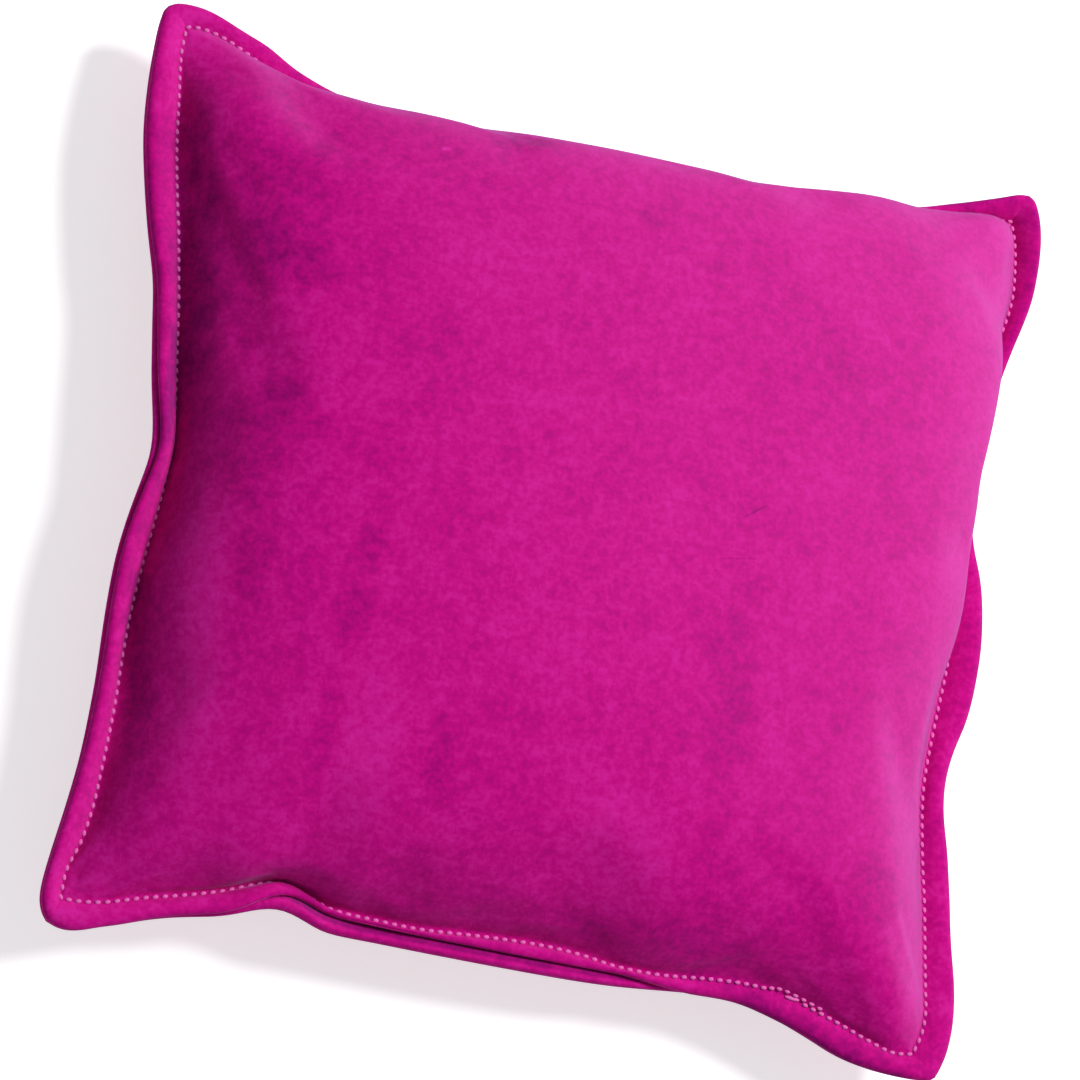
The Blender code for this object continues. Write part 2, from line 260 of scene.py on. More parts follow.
def dome(place):
    return math.cos(math.pi * place / 2) ** bagShape["domePower"] if abs(place) < 1 else 0.0


def sidePoint(kind, side, u):  # a point of the row or the edge, u from -1 to 1 along the side
    line = bagShape[kind][side]
    along = line[0][0] + (line[-1][0] - line[0][0]) * (u + 1) / 2
    across = curveAt(line, along)
    return Vector((across, along)) if side in ("left", "right") else Vector((along, across))


def alongOf(side, point):
    return point.y if side in ("left", "right") else point.x


def seamLevel(point):
    corner = point.x * point.y / bagShape["cornerArea"]
    return bagShape["seamHeight"] - bagShape["cornerDroop"] * corner ** 2


def opening(side, along):  # 1 inside the filling opening, 0 elsewhere
    if side != "bottom":
        return 0.0
    rise = (along - foldShape["openingFrom"]) / foldShape["openingRamp"]
    fall = (foldShape["openingTo"] - along) / foldShape["openingRamp"]
    inside = max(0.0, min(1.0, rise, fall))
    return inside * inside * (3 - 2 * inside)


def flangePoint(side, u, out, up, face):  # out from the foot and up from the middle level, in mm
    row, edge = sidePoint("stitchRow", side, u), sidePoint("edge", side, u)
    outward = (edge - row).normalized()
    foot = row - outward * bagShape["footBack"]
    lift = curveAt(bagShape["edgeLift"][side], alongOf(side, row))
    tilt = math.atan2(lift, (edge - row).length)
    tilt *= min(1.0, max(0.0, out - foldShape["liftFrom"]) / foldShape["liftOver"])
    plan = foot + outward * (out * math.cos(tilt) - up * face * math.sin(tilt))
    level = seamLevel(foot) + out * math.sin(tilt) + up * face * math.cos(tilt)
    return Vector((plan.x, plan.y, level)) * mm


def flangeWidth(side, u, face):  # from the foot of the crown to the edge, along the flange
    row, edge = sidePoint("stitchRow", side, u), sidePoint("edge", side, u)
    along = alongOf(side, row)
    lift = curveAt(bagShape["edgeLift"][side], along)
    width = math.hypot((edge - row).length, lift) + bagShape["footBack"]
    opened = opening(side, along)
    if face > 0:
        return width - foldShape["openingSetBack"] * opened
    return width - foldShape["tuck"] * (1 - opened)


def foldProfile(width, rise, inner):  # (out, up, place across the seam for the texture)
    shape = foldShape
    row, rowRise = bagShape["footBack"], shape["rowRise"]
    trough, ease = shape["trough"], shape["troughEase"]
    roll = min(shape["roll"], (width - trough) * shape["rollMost"])
    flat = width - roll - trough
    profile = [
        (row / 2, (shape["footRise"] + rowRise) / 2 - ease, row / 2),
        (row, rowRise, row),
        (trough, rowRise + ease, trough),
        (trough + flat * 0.3, (rowRise + rise) / 2 + 0.1, 1.9),
        (trough + flat * 0.7, rise, 3.0),
    ]
    middle = inner + (rise - inner) * shape["rollMiddle"]
    for angle, across in ((0, 4.0), (30, 4.35), (60, 4.7), (90, 5.1)):  # over the roll
        turn = math.radians(angle)
        out = width - roll * (1 - math.sin(turn))
        profile.append((out, middle + (rise - middle) * math.cos(turn), across))
    for angle, across in ((30, 5.35), (60, 5.6), (85, 5.9)):  # under it
        turn = math.radians(angle)
        out = width - roll * shape["underRoll"] * (1 - math.cos(turn))
        profile.append((out, middle - (middle - inner) * math.sin(turn), across))
    profile.append((max(width - shape["grooveDepth"], row), inner, 8.0))
    return profile


def sideOf(p, q):  # the side that a place of the cloth is nearest to, and where along it
    if abs(p) >= abs(q):
        return ("right" if p > 0 else "left"), spread(q)
    return ("top" if q > 0 else "bottom"), spread(p)


def softFloor(height):  # the belly flattens on the ground
    soft = bagShape["restSoftness"]
    if height >= soft:
        return height
    return 0.0 if height <= -soft else (height + soft) ** 2 / (4 * soft)


def pushed(side, place, across, along):  # sideways move of a row of cloth near one side
    shape = bagShape
    fade = 1 - across * across
    hump = max(math.sin(math.pi * abs(place) ** shape["swellBias"]), 0.0) ** shape["swellSharpness"]
    swell = curveAt(shape["swell"][side], along) * hump
    near = 1 - math.exp(-shape["slantNearness"] * (1 - abs(place)))
    slant = curveAt(shape["slant"][side], along) * near * spread(place) ** 2
    return (swell * fade - slant * fade ** shape["slantFade"]) * (1 if place > 0 else -1)


def bodyPoint(p, q, face):  # the filled form: the crown for face 1, the belly for face -1
    shape = bagShape
    s, t = spread(p), spread(q)
    left, right = flangePoint("left", t, 0, 0, 1), flangePoint("right", t, 0, 0, 1)
    bottom, top = flangePoint("bottom", s, 0, 0, 1), flangePoint("top", s, 0, 0, 1)
    x = (left.x + (right.x - left.x) * (s + 1) / 2) / mm
    y = (bottom.y + (top.y - bottom.y) * (t + 1) / 2) / mm
    pushX = pushed("right" if p > 0 else "left", p, q, y)
    pushY = pushed("top" if q > 0 else "bottom", q, p, x)
    x, y = x + pushX, y + pushY
    full = dome(p) * dome(q)
    raised = 0.0
    for atX, atY, reach, moveX, moveY, moveZ in shape["puffs"] if face > 0 else ():
        near = math.exp(-((x - atX) ** 2 + (y - atY) ** 2) / reach ** 2)
        share = near * (1 - p ** shape["puffFade"]) * (1 - q ** shape["puffFade"])
        x += moveX * share
        y += moveY * share
        raised += moveZ * share
    lumpPlace = Vector((x, y, face * shape["lumpApart"])) / shape["lumpSize"]
    lump = noise.noise(lumpPlace) * shape["lumps"] * min(1, full * 2)
    level = seamLevel(Vector((x, y)))
    if face > 0:
        height = level + foldShape["footRise"] + shape["crownHeight"] * full + lump + raised
    else:
        height = softFloor(level - foldShape["footRise"] - shape["bellyDepth"] * full)
    return Vector((x, y, height)) * mm


# Lengths along the stitch row, so that stitches and the dimples between them keep one pitch
halfSteps = 200  # steps in half a side
rowLengths = {}
for side in sides:
    shares = [step / halfSteps - 1 for step in range(halfSteps * 2 + 1)]
    marks = [sidePoint("stitchRow", side, share) for share in shares]
    total = [0.0]
    for here, there in zip(marks, marks[1:]):
        total.append(total[-1] + (there - here).length)
    rowLengths[side] = total
perimeter = sum(total[-1] for total in rowLengths.values())
stitchCount = round(perimeter / stitchShape["pitch"])


def rowPlace(side, u):  # length along the row, from the bottom left corner round by the right
    step = min(max((u + 1) * halfSteps, 0), halfSteps * 2 - 0.001)
    total = rowLengths[side]
    length = total[int(step)] + (total[int(step) + 1] - total[int(step)]) * (step - int(step))
    if side == "bottom":
        return length
    if side == "right":
        return rowLengths["bottom"][-1] + length
    if side == "top":
        return rowLengths["bottom"][-1] + rowLengths["right"][-1] + total[-1] - length
    return perimeter - length


def rowAt(length):  # the side and u at a length along the row
    length %= perimeter
    for side in ("bottom", "right", "top", "left"):
        total = rowLengths[side]
        if length <= total[-1] or side == "left":
            break
        length -= total[-1]
    if side in ("top", "left"):
        length = total[-1] - length
    last = halfSteps * 2 - 1
    step = next((i for i in range(last + 1) if total[i + 1] >= length), last)
    share = (length - total[step]) / (total[step + 1] - total[step])
    return side, (step + share) / halfSteps - 1


def bottomPlace(x):  # length along the row at an x on the bottom side
    line = bagShape["stitchRow"]["bottom"]
    return rowPlace("bottom", (x - line[0][0]) / (line[-1][0] - line[0][0]) * 2 - 1)


rowStart = bottomPlace(stitchShape["start"])
overlapLength = bottomPlace(stitchShape["overlapEnd"]) - rowStart


def stitchNumber(side, u):
    return (rowPlace(side, u) - rowStart) / perimeter * stitchCount % stitchCount


def linkPiece(name, mesh):
    piece = bpy.data.objects.new(name, mesh)
    bpy.context.scene.collection.objects.link(piece)
    return piece


def finishMesh(name, work, smooth=True):
    mesh = bpy.data.meshes.new(name)
    work.to_mesh(mesh)
    work.free()
    if smooth:
        mesh.shade_smooth()
    return mesh


def clothGrid(face):
    cloth = bmesh.new()
    bmesh.ops.create_grid(cloth, x_segments=bagShape["rows"], y_segments=bagShape["rows"], size=1)
    places = cloth.verts.layers.float_vector.new("place")
    for vertex in cloth.verts:
        p, q = round(vertex.co.x, 6), round(vertex.co.y, 6)
        vertex[places] = Vector((p, q, 0))
        vertex.co = bodyPoint(p, q, face)
    return cloth


settleShape = {
    "frames": 20,
    "cap": 0.0013,  # no place moves further, in m
    "cloth": {
        "quality": 6,
        "mass": 0.02,
        "tension_stiffness": 30,
        "compression_stiffness": 12,
        "shear_stiffness": 6,
        "bending_stiffness": 0.4,
        "use_pressure": True,
        "uniform_pressure_force": 4.0,
        "shrink_min": -0.004,  # the cloth gives a little
    },
}


def settleCrown(cloth):  # the pellets push the sewn cloth outwards
    mesh = bpy.data.meshes.new("settling")
    cloth.to_mesh(mesh)
    settling = linkPiece("settling", mesh)
    sewn = settling.vertex_groups.new(name="sewn")
    sewn.add([vertex.index for vertex in cloth.verts if vertex.is_boundary], 1.0, "REPLACE")
    sim = settling.modifiers.new("settle", "CLOTH")
    for setting, value in settleShape["cloth"].items():
        setattr(sim.settings, setting, value)
    sim.settings.vertex_group_mass = "sewn"
    sim.settings.effector_weights.gravity = 0
    sim.point_cache.frame_start = 1
    sim.point_cache.frame_end = settleShape["frames"]
    for step in range(1, settleShape["frames"] + 1):
        bpy.context.scene.frame_set(step)
    settled = settling.evaluated_get(bpy.context.evaluated_depsgraph_get())
    moved = [vertex.co.copy() for vertex in settled.data.vertices]
    furthest = 0.0
    cap = settleShape["cap"]
    cloth.verts.ensure_lookup_table()
    for vertex, place in zip(cloth.verts, moved):
        move = place - vertex.co
        furthest = max(furthest, move.length)
        if move.length > 0:  # the further, the more it is held back
            vertex.co += move * (cap * math.tanh(move.length / cap) / move.length)
    bpy.data.objects.remove(settling)
    bpy.data.meshes.remove(mesh)
    bpy.context.scene.frame_set(1)
    print("crown settled, largest move in mm:", round(furthest / mm, 2))


def growBorder(cloth):  # one more row of cloth all round, still lying on the last one
    border = [edge for edge in cloth.edges if edge.is_boundary]
    grown = bmesh.ops.extrude_edge_only(cloth, edges=border)
    return [item for item in grown["geom"] if isinstance(item, bmesh.types.BMVert)]


def addRim(cloth, face):
    shape = foldShape
    places = cloth.verts.layers.float_vector["place"]
    foot = {}
    for vertex in cloth.verts:  # how far each vertex lies from the foot, for the texture
        p, q = vertex[places].x, vertex[places].y
        if max(abs(p), abs(q)) > shape["textureFrom"]:
            side, u = sideOf(p, q)
            if (side, u) not in foot:
                foot[side, u] = flangePoint(side, u, 0, shape["footRise"], face)
            away = (vertex.co - foot[side, u]).length / mm
            vertex[places].z = -min(away, shape["textureReach"])
        else:
            vertex[places].z = -shape["textureReach"]
    for step in range(len(foldProfile(shape["grooveDepth"], shape["rise"], 0))):
        for vertex in growBorder(cloth):
            side, u = sideOf(vertex[places].x, vertex[places].y)
            turn = stitchNumber(side, u) / stitchCount * math.tau
            around = Vector((math.cos(turn), math.sin(turn), face * 0.7)) * shape["wanderRate"]
            rise = shape["rise"] + shape["riseWander"] * noise.noise(around)
            along = alongOf(side, sidePoint("stitchRow", side, u))
            if side == "left":
                rise *= curveAt(shape["pinch"], along)
            inner = shape["grooveGap"] + shape["openingStep"] * opening(side, along) * face
            out, up, across = foldProfile(flangeWidth(side, u, face), rise, inner)[step]
            vertex.co = flangePoint(side, u, out, up, face)
            vertex[places].z = across


def mapSeam(cloth):  # U counts stitches along the row, V is the place across the seam
    places = cloth.verts.layers.float_vector["place"]
    seam = cloth.loops.layers.uv.new("seam")
    for patch in cloth.faces:
        numbers = []
        for loop in patch.loops:
            place = loop.vert[places]
            numbers.append(stitchNumber(*sideOf(place.x, place.y)))
        wraps = max(numbers) - min(numbers) > stitchCount / 2
        for loop, number in zip(patch.loops, numbers):
            if wraps and number < stitchCount / 2:
                number += stitchCount
            loop[seam].uv = (number, loop.vert[places].z)


def panelCover(name, cloth, face):
    addRim(cloth, face)
    mapSeam(cloth)
    if face < 0:
        bmesh.ops.reverse_faces(cloth, faces=cloth.faces)
    cover = linkPiece(name, finishMesh(name, cloth))
    finer = cover.modifiers.new("finer", "SUBSURF")
    finer.levels = finer.render_levels = 1
    thick = cover.modifiers.new("cloth", "SOLIDIFY")
    thick.thickness = foldShape["cloth"] * mm
    thick.offset = -1
    return cover


fillShape = {  # in mm
    "gap": 0.3,  # between the fill and the cloth
    "rimIn": 1.0,  # from the foot of the crown in to the fill's rim
    "rimDrop": 1.0,
    "notchIn": 2.4,  # the seam allowances lie in a notch of the rim
    "notchRise": 0.9,
}


def fillHalf(cloth, face):  # what the panel holds: the same form, inside the cloth
    shape = fillShape
    half = cloth.copy()
    places = half.verts.layers.float_vector["place"]
    half.normal_update()
    inset = (foldShape["cloth"] + shape["gap"]) * mm
    for vertex in half.verts:
        if vertex.is_boundary:
            side, u = sideOf(vertex[places].x, vertex[places].y)
            up = foldShape["footRise"] - shape["rimDrop"]
            vertex.co = flangePoint(side, u, -shape["rimIn"], up, face)
        else:
            vertex.co -= vertex.normal * inset * face
    for up in (shape["notchRise"], 0.0):
        for vertex in growBorder(half):
            side, u = sideOf(vertex[places].x, vertex[places].y)
            vertex.co = flangePoint(side, u, -shape["notchIn"], up, face)
    if face < 0:
        bmesh.ops.reverse_faces(half, faces=half.faces)
    return half


crownCloth = clothGrid(1)
bellyCloth = clothGrid(-1)
settleCrown(crownCloth)

fillWork = bmesh.new()
for cloth, face in ((crownCloth, 1), (bellyCloth, -1)):
    half = fillHalf(cloth, face)
    halfMesh = finishMesh("fillHalf", half)
    fillWork.from_mesh(halfMesh)
    bpy.data.meshes.remove(halfMesh)
bmesh.ops.remove_doubles(fillWork, verts=fillWork.verts, dist=0.02 * mm)
packedFill = linkPiece("packedFill", finishMesh("packedFill", fillWork))
topCover = panelCover("topCover", crownCloth, 1)
bottomCover = panelCover("bottomCover", bellyCloth, -1)
print("covers made, stitch row in mm:", round(perimeter, 1), "stitches:", stitchCount)


def stitchRow(name, face):
    shape = stitchShape
    step = perimeter / stitchCount
    places = [(rowStart + shape["firstLength"] / 2, shape["firstLength"], 0.0)]
    number = math.ceil((shape["firstLength"] + shape["firstGap"]) / step)
    while (number + 0.5) * step < perimeter + overlapLength:
        length = rowStart + (number + 0.5) * step
        beyond = length - rowStart - perimeter + shape["overlapRamp"]  # past its own start
        inset = shape["overlapInset"] * min(max(beyond / shape["overlapRamp"], 0.0), 1.0)
        places.append((length, shape["length"], inset))
        number += 1
    one = bmesh.new()
    one.loops.layers.uv.new("twist")
    bmesh.ops.create_uvsphere(
        one, u_segments=shape["segments"], v_segments=shape["rings"], radius=1, calc_uvs=True
    )
    oneMesh = finishMesh("oneStitch", one)
    rows = bmesh.new()
    rows.from_mesh(oneMesh)
    bpy.data.meshes.remove(oneMesh)
    unit = [vertex.co.copy() for vertex in rows.verts]
    while len(rows.verts) < len(unit) * len(places):  # doubled until there are enough
        bmesh.ops.duplicate(rows, geom=rows.verts[:] + rows.edges[:] + rows.faces[:])
    rows.verts.ensure_lookup_table()
    rowRise, climb = foldShape["rowRise"], foldShape["footRise"] - foldShape["rowRise"]
    for count, (length, long, inset) in enumerate(places):
        out = bagShape["footBack"] - inset
        up = rowRise + climb * inset / bagShape["footBack"] + shape["proud"]
        ends = [flangePoint(*rowAt(length + way * long / 2), out, up, face) for way in (-1, 1)]
        middle = flangePoint(*rowAt(length), out, up, face)
        lengthwise = (ends[1] - ends[0]).normalized()
        lengthwise.rotate(Matrix.Rotation(math.radians(shape["lean"]), 3, "Z"))
        sideways = Vector((0, 0, face)).cross(lengthwise).normalized()
        turn = Matrix((sideways, lengthwise.cross(sideways), lengthwise)).transposed()
        size = Matrix.Diagonal((shape["width"] / 2 * mm, shape["height"] / 2 * mm, long / 2 * mm))
        for corner, place in enumerate(unit):
            rows.verts[count * len(unit) + corner].co = middle + turn @ size @ place
    bmesh.ops.delete(rows, geom=rows.verts[len(unit) * len(places):], context="VERTS")
    return linkPiece(name, finishMesh(name, rows))


topStitches = stitchRow("topStitches", 1)
bottomStitches = stitchRow("bottomStitches", -1)
print("stitches made")

# The seam that joins the panels, hidden in the fold. It stops at the filling opening.
joinShape = {  # in mm
    "diameter": 0.25,
    "fromEdge": 1.9,
    "rise": 0.95,  # from the middle level
    "step": 2.0,
}


def joinThread(name, face):
    begin = bottomPlace(foldShape["openingTo"])
    end = bottomPlace(foldShape["openingFrom"]) + perimeter
    count = round((end - begin) / joinShape["step"])
    path = bpy.data.curves.new(name, "CURVE")
    path.dimensions = "3D"
    path.bevel_depth = joinShape["diameter"] / 2 * mm
    path.bevel_resolution = 1
    path.use_fill_caps = True
    line = path.splines.new("POLY")
    line.points.add(count)
    for number, spot in enumerate(line.points):
        side, u = rowAt(begin + (end - begin) * number / count)
        out = flangeWidth(side, u, -1) - joinShape["fromEdge"]
        spot.co = (*flangePoint(side, u, out, joinShape["rise"], face), 1)
    return linkPiece(name, path)


topJoin = joinThread("topJoinThread", 1)
bottomJoin = joinThread("bottomJoinThread", -1)

# Materials: groups that more than one of them uses


def newGroup(name, inputs, outputs):
    group = bpy.data.node_groups.new(name, "ShaderNodeTree")
    for label, kind, value in inputs:
        socket = group.interface.new_socket(label, in_out="INPUT", socket_type=kind)
        if value is not None:
            socket.default_value = value
    for label in outputs:
        group.interface.new_socket(label, in_out="OUTPUT", socket_type="NodeSocketFloat")
    return group, group.nodes.new("NodeGroupInput"), group.nodes.new("NodeGroupOutput")


def addNode(tree, kind, values=None, **settings):  # a value that is a socket is linked
    node = tree.nodes.new(kind)
    for setting, value in settings.items():
        setattr(node, setting, value)
    for socket, value in (values or {}).items():
        if isinstance(value, bpy.types.NodeSocket):
            tree.links.new(value, node.inputs[socket])
        else:
            node.inputs[socket].default_value = value
    return node


def calc(tree, operation, a, b=0.0, c=None):
    values = {0: a, 1: b} if c is None else {0: a, 1: b, 2: c}
    return addNode(tree, "ShaderNodeMath", values, operation=operation).outputs[0]


def easeBetween(tree, value, low, high, toLow=0.0, toHigh=1.0):
    values = {"Value": value, "From Min": low, "From Max": high, "To Min": toLow, "To Max": toHigh}
    node = addNode(tree, "ShaderNodeMapRange", values, interpolation_type="SMOOTHSTEP")
    return node.outputs["Result"]


def mixColours(tree, share, first, second):
    mix = addNode(tree, "ShaderNodeMix", {0: share, 6: first, 7: second}, data_type="RGBA")
    return mix.outputs[2]


def objectPlace(tree):
    return addNode(tree, "ShaderNodeTexCoord").outputs["Object"]


def grainNoise(tree, position, size, detail=2.0, stretch=(1, 1, 1), turn=0.0):  # size in mm
    values = {"Vector": position, "Scale": Vector(stretch) / (size * mm), "Rotation": (0, 0, turn)}
    place = addNode(tree, "ShaderNodeMapping", values).outputs[0]
    values = {"Vector": place, "Scale": 1.0, "Detail": detail}
    return addNode(tree, "ShaderNodeTexNoise", values).outputs[0]


def newMaterial(name):
    made = bpy.data.materials.new(name)
    made.use_nodes = True
    return made, made.node_tree, made.node_tree.nodes["Principled BSDF"]


def addBump(tree, shader, height, strength, distance):
    values = {"Strength": strength, "Distance": distance, "Height": height}
    tree.links.new(addNode(tree, "ShaderNodeBump", values).outputs[0], shader.inputs["Normal"])


napLook = {  # sizes in mm
    "fine": 0.8,
    "speck": 1.7,
    "tuft": 4.6,
    "drift": 19.0,
    # size, stretch, turn
    "strands": [(0.45, (1.0, 0.16, 1.0), 0.2), (0.50, (0.14, 1.0, 1.0), 0.5)],
    "strandHeight": 0.35,
}

napGroup, napIn, napOut = newGroup(
    "brushedNap",
    [("Position", "NodeSocketVector", None)],
    ["Grain", "Mottle", "Drift", "Fibres", "Height"],
)
position = napIn.outputs["Position"]
fine, speck, tuft = [
    grainNoise(napGroup, position, napLook[kind]) for kind in ("fine", "speck", "tuft")
]
drift = grainNoise(napGroup, position, napLook["drift"], 2.5)
strands = [
    grainNoise(napGroup, position, size, 1.0, stretch, turn)
    for size, stretch, turn in napLook["strands"]
]
strand = calc(napGroup, "MAXIMUM", strands[0], strands[1])
grain = calc(napGroup, "MULTIPLY_ADD", fine, 0.5, calc(napGroup, "MULTIPLY", speck, 0.5))
for output, value, low, high in (
    ("Grain", grain, 0.3, 0.7),
    ("Mottle", tuft, 0.25, 0.75),
    ("Drift", drift, 0.28, 0.72),
    ("Fibres", strand, 0.5, 0.8),
):
    napGroup.links.new(easeBetween(napGroup, value, low, high), napOut.inputs[output])
napHeight = calc(napGroup, "MULTIPLY_ADD", strand, napLook["strandHeight"], grain)
napGroup.links.new(napHeight, napOut.inputs["Height"])

patchGroup, patchIn, patchOut = newGroup(
    "napAndShadePatch",
    [
        ("Position", "NodeSocketVector", None),
        ("Centre", "NodeSocketVector", (0, 0, 0)),
        ("Reach", "NodeSocketVector", (1, 1, 1)),
        ("Turn", "NodeSocketVector", (0, 0, 0)),
        ("Raggedness", "NodeSocketFloat", 0.3),
        ("Nap", "NodeSocketFloat", 0.5),
    ],
    ["Mask"],
)
patchValues = {
    "Vector": patchIn.outputs["Position"],
    "Location": patchIn.outputs["Centre"],
    "Rotation": patchIn.outputs["Turn"],
    "Scale": patchIn.outputs["Reach"],
}
patchPlace = addNode(patchGroup, "ShaderNodeMapping", patchValues, vector_type="TEXTURE").outputs[0]
fromCentre = addNode(patchGroup, "ShaderNodeVectorMath", {0: patchPlace}, operation="LENGTH")
ragged = calc(patchGroup, "SUBTRACT", patchIn.outputs["Nap"], 0.5)
ragged = calc(
    patchGroup, "MULTIPLY_ADD", ragged, patchIn.outputs["Raggedness"], fromCentre.outputs["Value"]
)
patchGroup.links.new(easeBetween(patchGroup, ragged, 1.1, 0.25), patchOut.inputs["Mask"])

seamLook = {  # in mm: across the seam the stitches lie at 0.9, the roll at 4 to 6, the groove at 8
    "holes": (0.42, 0.1),
    "trough": (0.7, 0.1),
    "puckers": (1.6, 0.3),
    "puckerSlope": 1.3,
    "overRoll": (3.7, 4.5),
    "underRoll": (5.9, 5.1),
    "groove": (5.9, 6.9),
    "crown": (1.2, 0.3, 0.2, 1.0),  # the painted sheen stays on the crown, and the flange keeps a fifth of it
}

seamGroup, seamIn, seamOut = newGroup(
    "stitchedSeam",
    [
        ("Seam", "NodeSocketVector", None),
        ("Row", "NodeSocketFloat", bagShape["footBack"]),
        ("Pitch", "NodeSocketFloat", stitchShape["pitch"]),
    ],
    ["Holes", "Trough", "Puckers", "Fold", "Groove", "Crown"],
)


def seamEase(value, reach):
    return easeBetween(seamGroup, value, *seamLook[reach])


seamParts = addNode(seamGroup, "ShaderNodeSeparateXYZ", {0: seamIn.outputs["Seam"]})
acrossSeam = seamParts.outputs[1]
fromHole = calc(seamGroup, "PINGPONG", seamParts.outputs[0], 0.5)
fromHole = calc(seamGroup, "MULTIPLY", fromHole, seamIn.outputs["Pitch"])
fromRow = calc(seamGroup, "SUBTRACT", acrossSeam, seamIn.outputs["Row"])
fromRow = calc(seamGroup, "ABSOLUTE", fromRow)
squares = [calc(seamGroup, "POWER", away, 2.0) for away in (fromHole, fromRow)]
nearHole = calc(seamGroup, "SQRT", calc(seamGroup, "ADD", squares[0], squares[1]))
wave = calc(seamGroup, "MULTIPLY", fromHole, seamLook["puckerSlope"])
overRoll, underRoll = seamEase(acrossSeam, "overRoll"), seamEase(acrossSeam, "underRoll")
for output, value in (
    ("Holes", seamEase(nearHole, "holes")),
    ("Trough", seamEase(fromRow, "trough")),
    ("Puckers", calc(seamGroup, "MULTIPLY", wave, seamEase(fromRow, "puckers"))),
    ("Fold", calc(seamGroup, "MULTIPLY", overRoll, underRoll)),
    ("Groove", seamEase(acrossSeam, "groove")),
    ("Crown", seamEase(acrossSeam, "crown")),
):
    seamGroup.links.new(value, seamOut.inputs[output])

suedeLook = {
    "deep": (0.280, 0.0008, 0.145, 1),
    "main": (0.575, 0.0025, 0.230, 1),
    "pale": (0.700, 0.0200, 0.360, 1),
    "grain": 0.36,
    "mottle": 0.10,
    "drift": 0.12,
    "fibres": 0.07,
    "trough": -0.08,  # painted shade along the stitches' trough, and round their holes
    "holes": -0.18,
    "topFoldAndGrooveLight": {"Fold": -0.05, "Groove": 0.60},  # tone round the roll, and painted light inside the fold, where the groove lies in shade
    # painted shade on the bottom panel's fold, along the groove between the two folds
    "underFoldAndGrooveShade": {"Fold": 0.04, "Groove": -0.45},
    "roughness": 0.92,
    "roughWander": -0.08,
    "specular": 0.06,
    "sheen": 0.50,
    "sheenRoughness": 0.30,
    "sheenTint": (0.50, 0.40, 1.0, 1),
    "paintedSheen": (0.620, 0.1200, 0.470, 1),  # painted sheen: lavender colour where the surface faces the lamp
    "paintedSheenWay": 32,  # degrees from +X towards +Y
    "paintedSheenFrom": -0.2,  # how far a place faces that way before it shows, from -1 to 1
    "paintedSheenShare": 0.56,
    "bump": 0.35,
    "bumpHeight": 0.00016,  # in m
    "puckerHeight": -0.8,  # how far puckers and holes sink, as a share of that
    "holeHeight": -0.7,
    "patchLevel": 20,  # height of the patches' middle, in mm
    "patchHeight": 90,  # how far they reach up and down
    "ragged": 0.35,  # how uneven a patch's border is, and a small mark's
    "raggedMark": 0.1,
    # darker and lighter patches of brushed nap, and painted shade by the left wall: x, y, reach
    # along, reach across, turn in degrees, depth
    "napAndShadePatches": [
        (-58, 40, 28, 11, 82, 0.17),
        # painted shade: these three darken the left wall beside the stitches and the waist of the
        # left flange
        (-67.5, 31, 38, 4, 96, 0.32),
        (-68.3, 8, 16, 1.7, 90, 0.35),
        (-67.5, -33, 27, 3, 98, 0.24),
        (-54, 35, 15, 4, -32, 0.12),
        (-55, 4, 14, 8, 80, 0.12),
        (-52, 12, 11, 4, -44, 0.13),
        (-54, -14, 11, 4, 93, 0.18),
        (-60, -26, 36, 4.5, 97, -0.18),
        (-74, 42, 24, 4, 92, 0.12),
        (-72, 73, 8, 6, 60, -0.16),
        (-73, -70, 12, 8, 60, -0.13),
        (76, 56, 24, 4, 85, 0.16),
        (66, 73, 10, 4, 12, 0.14),
        (54, -74, 26, 4.5, -18, 0.28),
        (-37, -17, 17, 3.5, 88, 0.17),
        (-39, -36, 12, 2.5, 92, 0.12),
        (-32, -45, 18, 7, 88, -0.20),
        (-20.5, -43, 10, 3, 93, 0.18),
        (13, -51, 21, 9, -42, -0.13),
        (26, -29, 28, 6, 96, 0.14),
        (-29, 24, 11, 3, 88, 0.09),
        (-18, 61, 8, 2.5, 6, 0.20),
        (3, 51.5, 5, 1.6, 158, 0.20),
        (16, 46, 7, 2.5, 7, 0.12),
        (36, 36, 15, 4, -45, 0.09),
        (22, -63, 28, 4, 0, 0.16),
        (57, -49, 13, 5, 90, 0.12),
        (-20, 38, 16, 10, 60, -0.08),
        (23, 17, 1.8, 1.2, 30, 0.14),
    ],
    "marks": [
        (26, 5.6, 3.2, 0.22, 38, 0.35), (23.8, -2.8, 5.0, 0.2, 11, 0.25),
        (-31, 57, 1.0, 0.5, 10, -0.6),
    ],
    "underPatches": [(-20, 10, 26, 9, 60, 0.22), (35, -30, 20, 8, 20, 0.16)],
}


